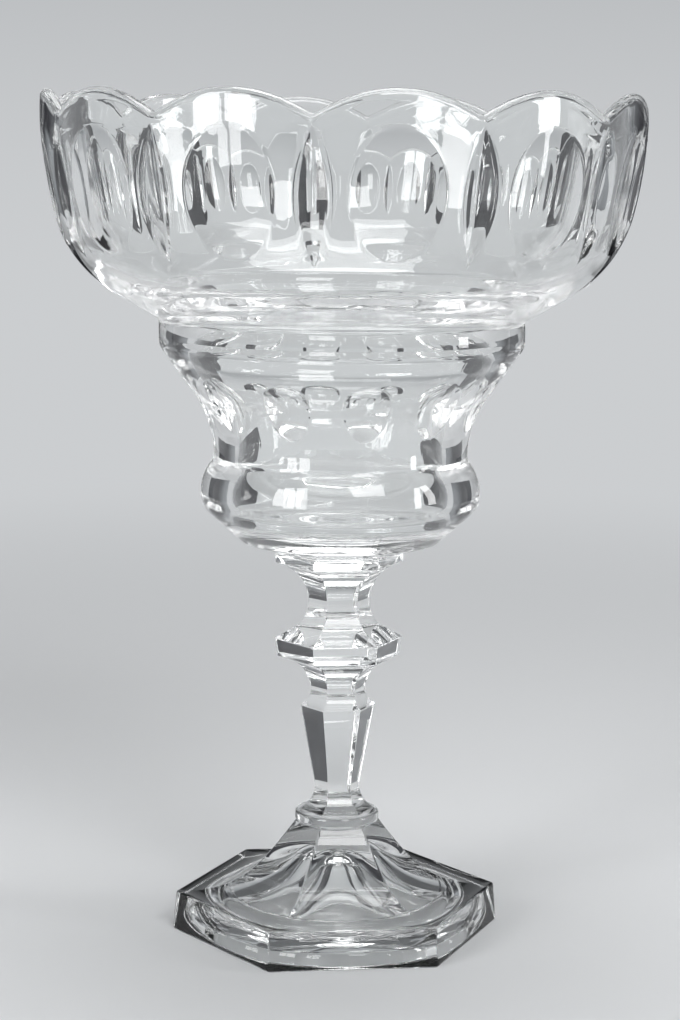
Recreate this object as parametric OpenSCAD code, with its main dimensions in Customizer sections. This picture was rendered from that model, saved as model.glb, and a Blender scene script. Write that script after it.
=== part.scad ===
// Footed trifle bowl in clear pressed glass. A scalloped bowl with a hollow lower cup
// is bonded to a six-sided stem, and the stem is bonded to a six-sided foot.
// Millimetres, +Z up. The origin is the centre of the face that the foot stands on,
// and the flat side of the foot that is seen from the front faces -Y.

/* [Foot] */
// Radius over the corners of the foot where it stands
foot_corner_r = 55.6; // [50:0.1:65]
// Height of the foot
foot_h = 37.05; // [32:0.05:45]
// Height of the upright edge of the foot
foot_edge_h = 12.9; // [8:0.1:15]
// How far the upright edge leans in
foot_draft = 1; // [0.2:0.1:2]
// Bevel at the top of the upright edge
foot_bevel = 0.6; // [0.2:0.1:1.5]
// Radius over the corners where the hollow sides turn up to the neck
foot_turn_r = 27.9; // [24:0.1:32]
// Height of that turn
foot_turn_h = 21; // [18:0.1:25]
// Radius over the corners of the top of the foot
foot_top_r = 14.6; // [14.6:0.1:17]
// Width of the ring that the foot stands on, at the middle of a flat side
foot_ring_w = 4.65; // [3:0.05:8]
// Height of the upright wall of the hollow under the foot
hollow_wall_h = 4; // [2.5:0.1:5]
// Height of the hollow at the foot of its bell
hollow_shelf_h = 8.8; // [7:0.1:10]
// Radius of the foot of the bell
hollow_shelf_r = 34; // [28:0.1:36]
// Height of the hollow inside the neck
hollow_h = 23.5; // [20:0.1:26]
// Radius of the bell's round top
hollow_top_r = 9; // [7:0.1:10]
// Height of the dome that closes that top
hollow_dome_h = 3; // [2:0.1:3.5]

/* [Stem] */
// Height of the stem
stem_h = 92; // [85:0.1:100]
// Radius of the round disc at the bottom of the stem
disc_r = 14.2; // [14:0.1:16]
// Height of that disc
disc_h = 3.8; // [3:0.1:5]
// Rounding of the rim of that disc
disc_round = 1.2; // [0.5:0.1:1.4]
// Radius over the corners where the stem leaves the disc
ankle_r = 12.6; // [11:0.1:13]
// Height of the flare above the disc
ankle_h = 8; // [6:0.1:10]
// Radius over the corners at the thin end of the baluster
baluster_low_r = 7.5; // [6:0.1:9]
// Length of the straight taper of the baluster
baluster_h = 27; // [20:0.1:32]
// Radius over the corners at the shoulder of the baluster
baluster_top_r = 12.8; // [11:0.1:14]
// Thickness of the shoulder of the baluster
shoulder_t = 1.2; // [0.8:0.1:2]
// How far the side of that shoulder leans out
shoulder_draft = 0.24; // [0:0.01:0.5]
// Radius over the corners of the neck under the knop
low_neck_r = 9.6; // [8:0.1:11]
// Height from the baluster's shoulder to the neck under the knop
low_neck_h = 7.3; // [5:0.1:9]
// Height from that neck to the lower edge of the knop
knop_rise = 9.5; // [7:0.1:12]
// Radius over the corners of the lower edge of the knop
knop_low_r = 20.7; // [18:0.1:23]
// Radius over the corners of the upper edge of the knop
knop_r = 21.7; // [19:0.1:24]
// Height of the side of the knop
knop_h = 6.2; // [4:0.1:8]
// Height of the sloping top of the knop
knop_slope_h = 4.2; // [3:0.1:6]
// Radius over the corners where that slope meets the upper neck
knop_top_r = 14; // [12.5:0.1:16]
// Radius over the corners of the neck above the knop
high_neck_r = 10.4; // [9:0.1:12]
// Height from the knop's slope to the narrowest part of the upper neck
high_neck_h = 7.6; // [6:0.1:9]
// Radius over the corners of the plate that carries the bowl
plate_r = 21.6; // [20:0.1:24]
// Thickness of the edge of that plate
plate_t = 3.4; // [2.5:0.1:4.5]

/* [Bowl] */
// Height of the bowl from its seat to the crests of the rim
bowl_h = 151.65; // [145:0.05:160]
// Radius of the bowl at the crests of the rim
mouth_r = 98.5; // [96:0.1:110]
// Number of scallops round the rim, and of panels below them
panel_count = 12; // [10:1:14]
// Depth of the scallops from crest to dip
scallop_d = 8; // [4:0.1:10]
// Turn of the panels against the flat sides of the foot
bowl_turn = 2.6; // [0:0.1:15]
// Radius of the seat under the bowl
seat_r = 18.5; // [17:0.1:20]
// Rise of the underside from the seat to the base edge
base_rise = 4.05; // [3:0.05:5]
// Radius of the base edge
base_r = 34.9; // [32:0.1:37]
// Bevel under the base edge
base_bevel = 1.9; // [1:0.1:2.5]
// Radius of the lower cup at the lower end of its round belly
cup_low_r = 45.6; // [43:0.1:47]
// Height of that end above the seat
cup_low_h = 15.3; // [13:0.1:17]
// Radius of the crease at the waist
waist_r = 42.2; // [40:0.1:44]
// Height of the waist above the seat
waist_h = 31.55; // [29:0.05:34]
// Radius of the cup where its hollow side turns into the straight flare
flare_r = 48.9; // [46:0.1:51]
// Height of that turn above the seat
flare_h = 53.25; // [50:0.05:57]
// Radius of the shoulder between cup and bowl
ledge_r = 60.5; // [58:0.1:64]
// Height of the lower edge of the shoulder above the seat
ledge_low_h = 69.25; // [66:0.05:71]
// Height of the upright side of the shoulder
ledge_t = 8.6; // [6:0.1:10]
// Radius at which the straight underside of the bowl begins to curve up
belly_r = 74.15; // [70:0.05:78]
// Height of that place above the seat
belly_h = 85.75; // [84:0.05:90]
// Radius of the bowl at the top of its round belly
side_r = 94.85; // [92:0.05:97]
// Height of that place above the seat
side_h = 113.2; // [108:0.1:117]

/* [Walls] */
// Wall at the rim
rim_wall = 4.5; // [3.8:0.1:6]
// Wall at the top of the round belly
side_wall = 4.7; // [4.2:0.1:6]
// Wall under the belly, measured upright
belly_wall = 6; // [4:0.1:8]
// Wall at the top of the shoulder, measured level
throat_wall = 2.5; // [1.5:0.1:4]
// Wall at the top of the shoulder, measured upright
throat_t = 6.2; // [4:0.1:8]
// Wall at the side of the shoulder
ledge_wall = 10.5; // [7:0.1:13]
// Height of the top of the well above the lower edge of the shoulder
well_top_lift = 2.25; // [1:0.05:4]
// Wall at the turn of the flare
flare_wall = 9.25; // [7:0.05:11]
// Wall at the waist
waist_wall = 8.5; // [6:0.1:10]
// Height of the narrowest part of the inside above the waist
waist_lift = 4.5; // [2:0.1:6]
// Wall at the round belly of the cup
cup_wall = 9.6; // [7:0.1:12]
// Thickness of the floor of the cup
floor_t = 12.15; // [10:0.05:15]
// Rounding between the wall and the floor of the cup
floor_round = 8; // [4:0.1:10]

/* [Cut pattern] */
// Distance from the crests down to the upper tips of the upright mitre cuts
mitre_drop = 11; // [10:0.1:14]
// Height of the mitre cuts from tip to tip
mitre_h = 41; // [34:0.1:44]
// Depth of the mitre cuts in the middle
mitre_d = 2.8; // [2:0.1:3.2]
// Angle between the two sides of a mitre cut, in degrees
mitre_angle = 124; // [100:1:135]
// Distance from the crests down to the upper ends of the oval cuts
oval_drop = 11; // [9:0.1:14]
// Height of the oval cuts
oval_h = 39.5; // [34:0.1:42]
// Depth of the oval cuts in the middle
oval_d = 2.9; // [1.5:0.1:3.2]
// Radius of the rounding across an oval cut
oval_edge_r = 59; // [50:1:100]
// Depth of the thumb cuts on the flare of the cup
thumb_d = 2; // [1:0.1:2.5]
// Radius of the ball shape of the thumb cuts
thumb_r = 20; // [16:0.5:22]

/* [Bonds] */
// Thickness of the clear bonds
bond_t = 0.15; // [0.1:0.01:0.3]
// How far a bond stays inside the smaller of its two faces
bond_inset = 0.2; // [0.1:0.1:1]

/* [Hidden] */

// How far cutting shapes reach past what they cut
overrun = 3;
// Number of straight pieces in each curved stretch of an outline
arc_steps = 6;
$fn = 96;
// Fineness of the large cutting shapes, of which only a short arc is kept
cutter_sides = 720;

// Half width of a flat side of a hexagon as a share of its radius over the corners
flat_share = cos(30);

// Bows of the curved stretches, each the height of the arc as a share of its chord
foot_sweep_share = 0.105;
foot_neck_share = 0.02;
hollow_shoulder_share = 0.12;
hollow_bell_share = 0.065;
hollow_dome_share = 0.08;
ankle_share = 0.12;
low_neck_share = 0.19;
knop_under_share = 0.17;
high_neck_share = 0.1;
plate_cove_share = 0.19;
cup_belly_share = 0.139;
cup_cove_share = 0.0834;
bowl_belly_share = 0.1018;
bowl_side_share = 0.0373;
throat_share = 0.12;
well_top_share = 0.06;
well_side_share = 0.07;
well_low_share = 0.02;
// Bow of a quarter circle
quarter_share = tan(22.5) / 2;

// Height above the ground at which each piece begins
foot_bond_z = foot_h;
stem_z = foot_bond_z + bond_t;
bowl_bond_z = stem_z + stem_h;
bowl_z = bowl_bond_z + bond_t;

panel_angle = 360 / panel_count;

// Points of the arc from p to q, without p. The middle of the arc lies to the right
// of the way from p to q, off the chord by bow_share of its length.
function bow(p, q, bow_share) =
    let (
        way = q - p,
        aside = [way[1], -way[0]],
        half_angle = 2 * atan(2 * bow_share)
    )
    [
        for (i = [1:arc_steps])
            let (angle = half_angle * (2 * i / arc_steps - 1))
            (p + q) / 2 + way * sin(angle) / sin(half_angle) / 2
            + aside * bow_share * (cos(angle) - cos(half_angle)) / (1 - cos(half_angle))
    ];

// A six-sided solid from its outline of corner radii and heights: three slabs cross,
// and each has the outline of two opposite flat sides.
module six_sided(outline, reach) {
    half = [for (p = outline) [p[0] * flat_share, p[1]]];
    other_half = [for (i = [len(half) - 1:-1:0]) [-half[i][0], half[i][1]]];
    intersection_for (turn = [0, 60, 120]) {
        rotate([0, 0, turn])
            rotate([90, 0, 90])
                linear_extrude(height = 2 * reach, center = true)
                    polygon(concat(half, other_half));
    }
}

// Foot: upright edge, hollow sides that sweep up to the neck, and a bell-shaped hollow
foot_edge = [foot_corner_r - foot_draft, foot_edge_h];
foot_rim = foot_edge + [-foot_bevel, foot_bevel];
foot_turn = [foot_turn_r, foot_turn_h];
foot_outline = concat(
    [[foot_corner_r, 0], foot_edge, foot_rim],
    bow(foot_rim, foot_turn, -foot_sweep_share),
    bow(foot_turn, [foot_top_r, foot_h], -foot_neck_share)
);

hollow_r = foot_corner_r * flat_share - foot_ring_w;
hollow_wall_top = [hollow_r - foot_draft / 2, hollow_wall_h];
hollow_shelf = [hollow_shelf_r, hollow_shelf_h];
hollow_neck = [hollow_top_r, hollow_h - hollow_dome_h];
hollow_outline = concat(
    [[0, -overrun], [hollow_r, -overrun], [hollow_r, 0], hollow_wall_top],
    bow(hollow_wall_top, hollow_shelf, hollow_shoulder_share),
    bow(hollow_shelf, hollow_neck, -hollow_bell_share),
    bow(hollow_neck, [0, hollow_h], hollow_dome_share)
);

module foot() {
    color("gainsboro", 0.6)
        difference() {
            six_sided(foot_outline, foot_corner_r);
            rotate_extrude() polygon(hollow_outline);
        }
}

// Stem: every corner point is a radius over the corners and a height above its bottom
ankle = [ankle_r, disc_h];
baluster_low = [baluster_low_r, disc_h + ankle_h];
baluster_top = baluster_low + [baluster_top_r - baluster_low_r - shoulder_draft, baluster_h];
baluster_shoulder = [baluster_top_r, baluster_top[1] + shoulder_t];
low_neck = [low_neck_r, baluster_shoulder[1] + low_neck_h];
knop_low = [knop_low_r, low_neck[1] + knop_rise];
knop_edge = [knop_r, knop_low[1] + knop_h];
knop_top = [knop_top_r, knop_edge[1] + knop_slope_h];
high_neck = [high_neck_r, knop_top[1] + high_neck_h];
plate_low = [plate_r, stem_h - plate_t];
stem_outline = concat(
    [[ankle_r, disc_h / 2], ankle],
    bow(ankle, baluster_low, -ankle_share),
    [baluster_top, baluster_shoulder],
    bow(baluster_shoulder, low_neck, -low_neck_share),
    bow(low_neck, knop_low, -knop_under_share),
    [knop_edge, knop_top],
    bow(knop_top, high_neck, -high_neck_share),
    bow(high_neck, plate_low, -plate_cove_share),
    [[plate_r, stem_h]]
);

disc_outline = concat(
    [[0, 0], [disc_r - disc_round, 0]],
    bow([disc_r - disc_round, 0], [disc_r, disc_round], quarter_share),
    [[disc_r, disc_h - disc_round]],
    bow([disc_r, disc_h - disc_round], [disc_r - disc_round, disc_h], quarter_share),
    [[0, disc_h]]
);

module stem() {
    color("whitesmoke", 0.6)
        translate([0, 0, stem_z]) {
            six_sided(stem_outline, plate_r + knop_r);
            rotate_extrude() polygon(disc_outline);
        }
}

// Bowl: radius and height above the seat of each named place, outside and inside
base_edge = [base_r, base_rise + base_bevel];
cup_low = [cup_low_r, cup_low_h];
waist = [waist_r, waist_h];
flare = [flare_r, flare_h];
ledge_low = [ledge_r, ledge_low_h];
ledge_top = ledge_low + [0, ledge_t];
belly = [belly_r, belly_h];
side = [side_r, side_h];
crest = [mouth_r, bowl_h];
wall_outline = concat(
    [belly],
    bow(belly, side, bowl_belly_share),
    bow(side, crest, bowl_side_share)
);
outer_outline = concat(
    [[0, 0], [seat_r, 0], [base_r - base_bevel, base_rise], base_edge, cup_low],
    bow(cup_low, waist, cup_belly_share),
    bow(waist, flare, -cup_cove_share),
    [ledge_low, ledge_top],
    wall_outline
);

side_in = side - [side_wall, 0];
belly_in = belly + [0, belly_wall];
throat_in = ledge_top + [-throat_wall, throat_t];
ledge_in = ledge_low + [-ledge_wall, well_top_lift];
flare_in = flare - [flare_wall, 0];
waist_in = waist + [-waist_wall, waist_lift];
cup_in = [cup_low_r - cup_wall, floor_t + floor_round];
floor_in = [cup_in[0] - floor_round, floor_t];
inner_outline = concat(
    [crest - [rim_wall, 0]],
    bow(crest - [rim_wall, 0], side_in, -bowl_side_share),
    bow(side_in, belly_in, -bowl_belly_share),
    [throat_in],
    bow(throat_in, ledge_in, throat_share),
    bow(ledge_in, flare_in, -well_top_share),
    bow(flare_in, waist_in, well_side_share),
    bow(waist_in, cup_in, well_low_share),
    bow(cup_in, floor_in, -quarter_share),
    [[0, floor_t]]
);

// How far a cutting shape reaches out from its edge, past all of the wall that it cuts
cutter_t = max(mouth_r, side_r) - belly_r + overrun;

// Round the bowl once for each panel, with an extra turn that is a share of a panel
module each_panel(extra_share) {
    for (i = [0:panel_count - 1])
        rotate([0, 0, (i + extra_share) * panel_angle]) children();
}

// Radius of the outer wall at a height between the belly and the crests
function wall_r(h) = lookup(h, [for (p = wall_outline) [p[1], p[0]]]);

// The ring above the rim that is left after the round crests are taken out of it
module scallop_cut() {
    half_chord = mouth_r * sin(panel_angle / 2);
    crest_r = (half_chord * half_chord + scallop_d * scallop_d) / (2 * scallop_d);
    ring_in_r = mouth_r - rim_wall - overrun;
    ring_out_r = max(mouth_r, side_r) + overrun;
    ring_h = scallop_d + overrun;
    difference() {
        translate([0, 0, bowl_h - scallop_d - overrun / 2])
            difference() {
                cylinder(h = ring_h + overrun, r = ring_out_r);
                translate([0, 0, -overrun])
                    cylinder(h = ring_h + 3 * overrun, r = ring_in_r);
            }
        each_panel(0)
            translate([0, 0, bowl_h - crest_r])
                rotate([90, 0, 0])
                    translate([0, 0, ring_in_r - overrun])
                        cylinder(h = ring_out_r - ring_in_r + 2 * overrun, r = crest_r);
    }
}

// A cutting shape that bites into the front of the bowl, from drop below the crests down
// over cut_h. Its edge is the arc that meets the wall at both ends of the cut and lies
// at depth under the wall between them, so it may stand out from its chord or be hollow:
// rise is above or below zero. The child is its section: the edge is at the origin, and
// the body lies towards +X.
module wall_cut(drop, cut_h, depth) {
    top = [wall_r(bowl_h - drop), bowl_h - drop];
    low = [wall_r(top[1] - cut_h), top[1] - cut_h];
    middle = (top + low) / 2;
    chord = norm(top - low);
    lean = atan((top[0] - low[0]) / cut_h);
    rise = (wall_r(middle[1]) - middle[0]) * cos(lean) - depth;
    edge_r = (pow(chord / 2, 2) + rise * rise) / (2 * abs(rise));
    half_angle = asin(chord / 2 / edge_r);
    translate([0, -middle[0], middle[1]])
        rotate([lean, 0, 0])
            translate([0, sign(rise) * edge_r * cos(half_angle), 0])
                rotate([90, 0, -90 * sign(rise)])
                    rotate([0, 0, -half_angle])
                        rotate_extrude(angle = 2 * half_angle, $fn = cutter_sides)
                            translate([edge_r, 0])
                                scale([sign(rise), 1])
                                    children();
}

module mitre_cut() {
    cutter_w = cutter_t * tan(mitre_angle / 2);
    wall_cut(mitre_drop, mitre_h, mitre_d)
        polygon([[0, 0], [cutter_t, -cutter_w], [cutter_t, cutter_w]]);
}

module oval_cut() {
    wall_cut(oval_drop, oval_h, oval_d)
        intersection() {
            translate([oval_edge_r, 0]) circle(r = oval_edge_r);
            translate([-overrun, -oval_edge_r]) square([cutter_t + overrun, 2 * oval_edge_r]);
        }
}

module thumb_cut() {
    slope = ledge_low - flare;
    out = [slope[1], -slope[0]] / norm(slope);
    centre = flare + out * (thumb_r - thumb_d);
    translate([0, -centre[0], centre[1]]) sphere(r = thumb_r);
}

module bowl() {
    color("azure", 0.6)
        translate([0, 0, bowl_z])
            rotate([0, 0, bowl_turn])
                difference() {
                    rotate_extrude() polygon(concat(outer_outline, inner_outline));
                    scallop_cut();
                    each_panel(1 / 2) mitre_cut();
                    each_panel(0) oval_cut();
                    each_panel(0) thumb_cut();
                }
}

// Bonds: thin clear discs between the flat faces that they join
module foot_bond() {
    color("lightcyan", 0.6)
        translate([0, 0, foot_bond_z])
            cylinder(h = bond_t, r = min(foot_top_r * flat_share, disc_r - disc_round) - bond_inset);
}

module bowl_bond() {
    color("lightcyan", 0.6)
        translate([0, 0, bowl_bond_z])
            cylinder(h = bond_t, r = min(plate_r * flat_share, seat_r) - bond_inset);
}

foot();
foot_bond();
stem();
bowl_bond();
bowl();
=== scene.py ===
"""Looks of a footed trifle bowl in clear pressed glass.

The bowl, the stem and the foot are closed shells worked out on grids of rows and
columns. Rows follow an outline in the plane of radius and height, and columns go
round the axis. Lengths are metres: a size is written in millimetres times MM.
The outlines repeat the real sizes of the solid model, with the rounded lip, the
rounded edges and the smooth curves that fire-polished glass has.
"""

import logging
import math
from dataclasses import dataclass, field
from enum import Enum

import bpy
import numpy as np
from mathutils import Matrix, Vector


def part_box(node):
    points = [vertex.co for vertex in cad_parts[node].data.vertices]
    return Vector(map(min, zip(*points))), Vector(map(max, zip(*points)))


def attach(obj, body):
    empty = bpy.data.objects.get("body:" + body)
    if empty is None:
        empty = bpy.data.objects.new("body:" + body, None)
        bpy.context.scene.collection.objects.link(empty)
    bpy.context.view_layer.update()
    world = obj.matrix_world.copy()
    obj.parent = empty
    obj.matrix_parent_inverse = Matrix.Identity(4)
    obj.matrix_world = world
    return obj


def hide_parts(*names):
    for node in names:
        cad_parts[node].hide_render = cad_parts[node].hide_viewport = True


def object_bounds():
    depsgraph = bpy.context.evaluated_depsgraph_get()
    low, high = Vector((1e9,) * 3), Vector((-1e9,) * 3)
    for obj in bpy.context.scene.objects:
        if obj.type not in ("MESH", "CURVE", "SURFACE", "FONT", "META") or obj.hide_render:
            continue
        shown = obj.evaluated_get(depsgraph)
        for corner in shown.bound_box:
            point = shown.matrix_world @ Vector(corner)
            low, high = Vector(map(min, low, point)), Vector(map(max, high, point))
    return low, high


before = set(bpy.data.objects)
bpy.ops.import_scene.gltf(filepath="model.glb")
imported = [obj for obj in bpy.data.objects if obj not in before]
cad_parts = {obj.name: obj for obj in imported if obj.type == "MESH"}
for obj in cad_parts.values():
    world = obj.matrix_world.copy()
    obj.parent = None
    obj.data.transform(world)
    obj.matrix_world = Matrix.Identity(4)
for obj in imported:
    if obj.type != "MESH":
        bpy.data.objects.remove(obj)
cad_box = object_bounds()

log = logging.getLogger("trifle_bowl")

MM = 0.001
CM = 0.01

# Bow of a quarter circle, as a share of its chord
QUARTER_BOW = 0.2071

# Half the angle that one side of a six-sided piece takes
HALF_SIDE = math.pi / 6


# Helpers

def add_object(name: str, data: bpy.types.ID) -> bpy.types.Object:
    """Make an object and link it to the scene.

    Args:
        name: Its name.
        data: Its mesh, lamp or camera.

    Returns:
        The new object.
    """
    made = bpy.data.objects.new(name, data)
    bpy.context.scene.collection.objects.link(made)
    return made


def set_inputs(node: bpy.types.Node, values: dict[str, float | tuple[float, ...]]) -> None:
    """Give inputs of a node their values by name."""
    for name, value in values.items():
        node.inputs[name].default_value = value


def new_material(name: str, values: dict[str, float | tuple[float, ...]]) -> bpy.types.Material:
    """Make a material.

    Args:
        name: Its name.
        values: Values of its Principled shader by name.

    Returns:
        The new material.
    """
    made = bpy.data.materials.new(name)
    made.use_nodes = True
    set_inputs(made.node_tree.nodes["Principled BSDF"], values)
    return made


def add_group(tree: bpy.types.NodeTree, group: bpy.types.NodeTree,
              values: dict[str, float]) -> bpy.types.Node:
    """Add a node group.

    Args:
        tree: Node tree that it goes into.
        group: The group.
        values: Values of its inputs by name.

    Returns:
        Its node.
    """
    node = tree.nodes.new("ShaderNodeGroup")
    node.node_tree = group
    set_inputs(node, values)
    return node


def add_math(tree: bpy.types.NodeTree, operation: str, *feeds: bpy.types.NodeSocket | float,
             clamp: bool = False) -> bpy.types.NodeSocket:
    """Add a math node and feed its inputs.

    Args:
        tree: Node tree that it goes into.
        operation: Blender's name of the operation.
        feeds: Sockets or plain numbers for the inputs, in order.
        clamp: Whether the result stays between zero and one.

    Returns:
        The socket of the result.
    """
    node = tree.nodes.new("ShaderNodeMath")
    node.operation, node.use_clamp = operation, clamp
    for socket, feed in zip(node.inputs, feeds):
        if isinstance(feed, bpy.types.NodeSocket):
            tree.links.new(feed, socket)
        else:
            socket.default_value = feed
    return node.outputs[0]


def add_range(tree: bpy.types.NodeTree, value: bpy.types.NodeSocket, low: float, high: float,
              smooth: bool = False) -> bpy.types.NodeSocket:
    """Add a node that maps a range to zero to one and clamps it.

    Args:
        tree: Node tree that it goes into.
        value: Socket of the value to map.
        low: Value that gives zero.
        high: Value that gives one.
        smooth: Whether both ends are eased.

    Returns:
        The socket of the result.
    """
    node = tree.nodes.new("ShaderNodeMapRange")
    node.interpolation_type = "SMOOTHSTEP" if smooth else "LINEAR"
    set_inputs(node, {"From Min": low, "From Max": high})
    tree.links.new(value, node.inputs["Value"])
    return node.outputs["Result"]


def add_ramp(tree: bpy.types.NodeTree, share: bpy.types.NodeSocket,
             colours: tuple[tuple[float, ...], ...], interpolation: str = "LINEAR") -> bpy.types.NodeSocket:
    """Add a ramp from one colour to another.

    Args:
        tree: Node tree that it goes into.
        share: Socket of the share of the second colour.
        colours: The two colours.
        interpolation: Blender's name of the way between them.

    Returns:
        The socket of the colour.
    """
    node = tree.nodes.new("ShaderNodeValToRGB")
    for element, colour in zip(node.color_ramp.elements, colours):
        element.color = (*colour, 1.0)
    node.color_ramp.interpolation = interpolation
    tree.links.new(share, node.inputs["Fac"])
    return node.outputs["Color"]


# Outlines

class Outline:
    """A line in the plane of radius and height, built stretch by stretch.

    Each stop can be rounded. The line is traced as close points, and rows are then
    picked from it: far apart where it is straight, and close where it turns.
    """

    TRACE_STEP = 0.05 * MM
    SPREAD = 0.35 * MM
    STRAIGHT = 1e-9

    def __init__(self, radius: float, height: float) -> None:
        """Start the line at one point.

        Args:
            radius: Distance from the axis.
            height: Height above the ground.
        """
        self.stops: list[np.ndarray] = [np.array([radius, height])]
        self.bows: list[float] = []
        self.rounds: list[float] = [0.0]

    def to(self, radius: float, height: float, bow: float = 0.0, rounded: float = 0.0) -> "Outline":
        """Carry the line on to a new stop.

        Args:
            radius: Distance of the stop from the axis.
            height: Height of the stop above the ground.
            bow: Height of the arc as a share of its chord; above zero it lies on
                the right of the way, and zero is straight.
            rounded: How far from the stop its corner is rounded, each way.

        Returns:
            The outline itself, so that calls can follow each other.
        """
        self.stops.append(np.array([radius, height]))
        self.bows.append(bow)
        self.rounds.append(rounded)
        return self

    def _stretch(self, index: int) -> np.ndarray:
        """Close points of one stretch, without its first point.

        An arc of half angle h over the chord from p to q is, for t from -h to h,
        (p + q) / 2 + way * sin(t) / (2 sin(h)) + aside * bow * (cos(t) - cos(h)) / (1 - cos(h)).

        Args:
            index: Number of the stretch.

        Returns:
            Points as an array of two columns.
        """
        p, q, bow = self.stops[index], self.stops[index + 1], self.bows[index]
        way = q - p
        count = max(2, int(np.hypot(*way) / self.TRACE_STEP))
        share = np.arange(1, count + 1)[:, None] / count
        if bow == 0.0:
            return p + way * share
        aside = np.array([way[1], -way[0]])
        half = 2 * math.atan(2 * bow)
        turn = half * (2 * share - 1)
        return ((p + q) / 2 + way * np.sin(turn) / (2 * math.sin(half))
                + aside * bow * (np.cos(turn) - math.cos(half)) / (1 - math.cos(half)))

    def trace(self) -> np.ndarray:
        """Trace the whole line with its rounded stops.

        Returns:
            Close points as an array of two columns.
        """
        parts = [self.stops[0][None]] + [self._stretch(i) for i in range(len(self.bows))]
        line = np.vstack(parts)
        ends = np.cumsum([len(p) for p in parts]) - 1
        for end, reach in list(zip(ends, self.rounds))[::-1]:
            if reach > 0.0:
                line = self._round(line, int(end), reach)
        return line

    def _round(self, line: np.ndarray, corner: int, reach: float) -> np.ndarray:
        """Round one corner with a parabola that leaves the line along its tangents.

        For t from 0 to 1 it is (1 - t)^2 a + 2 t (1 - t) m + t^2 b, where the tangents
        at a and b meet in m. A corner with m over twice the reach away stays sharp.

        Args:
            line: Close points.
            corner: Number of the corner point.
            reach: Distance from the corner at which the parabola starts and ends.

        Returns:
            The close points with the corner rounded.
        """
        steps = max(2, int(round(reach / self.TRACE_STEP)))
        first, last = max(1, corner - steps), min(len(line) - 2, corner + steps)
        a, b = line[first], line[last]
        ta, tb = line[first] - line[first - 1], line[last + 1] - line[last]
        cross = ta[0] * tb[1] - ta[1] * tb[0]
        if abs(cross) < self.STRAIGHT * np.hypot(*ta) * np.hypot(*tb):
            return line
        middle = a + ta * ((b - a)[0] * tb[1] - (b - a)[1] * tb[0]) / cross
        if max(np.hypot(*(middle - a)), np.hypot(*(middle - b))) > 2 * reach:
            return line
        t = np.linspace(0, 1, last - first + 1)[:, None]
        curve = (1 - t) ** 2 * a + 2 * t * (1 - t) * middle + t ** 2 * b
        return np.vstack([line[:first], curve, line[last + 1:]])

    def rows(self, longest: float, turn: float, low: float | None = None,
             high: float | None = None) -> np.ndarray:
        """Pick rows from the line.

        The cost of a stretch is its length over the longest step plus its turn over
        the largest turn, and rows lie at equal costs.

        Args:
            longest: Longest step between rows.
            turn: Largest turn between rows, in degrees.
            low: Lowest height to keep, for a line that only climbs or only falls.
            high: Highest height to keep.

        Returns:
            Radius and height of each row.
        """
        line = self.trace()
        if low is not None:
            line = line[line[:, 1] >= low]
        if high is not None:
            line = line[line[:, 1] <= high]
        way = np.diff(line, axis=0)
        length = np.hypot(way[:, 0], way[:, 1])
        heading = np.unwrap(np.arctan2(way[:, 1], way[:, 0]))
        bend = np.abs(np.gradient(heading))
        width = max(3, int(self.SPREAD / self.TRACE_STEP) | 1)
        bend = np.convolve(bend, np.ones(width) / width, mode="same")
        cost = np.r_[0, np.cumsum(length / longest + bend / math.radians(turn))]
        marks = np.linspace(0, cost[-1], max(2, int(math.ceil(cost[-1])) + 1))
        return np.stack([np.interp(marks, cost, column) for column in line.T], axis=1)


# Shells

def at(radius: np.ndarray, height: np.ndarray, angle: np.ndarray) -> np.ndarray:
    """Places in space at angles round the axis from -Y towards +X: (r sin a, -r cos a, h)."""
    radius, height, angle = np.broadcast_arrays(radius, height, angle)
    return np.stack([radius * np.sin(angle), -radius * np.cos(angle), height], axis=-1)


def even_angles(count: int) -> np.ndarray:
    """Angles that divide a full turn evenly, from 0 on."""
    return np.arange(count) * 2 * math.pi / count


def angles_of(places: np.ndarray) -> np.ndarray:
    """Angles round the axis of places in space, which is atan2(x, -y)."""
    return np.arctan2(places[..., 0], -places[..., 1])


class Slot(Enum):
    """Material slots of a piece."""

    POLISHED = 0
    WETTED = 1
    WORN = 2


@dataclass
class Band:
    """A stretch of a shell with one number of columns.

    Attributes:
        points: Places, rows by columns by three.
        slots: Material slot of the faces above each row, one for each row. The last
            is that of the faces on to the next band.
    """

    points: np.ndarray
    slots: np.ndarray


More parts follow.
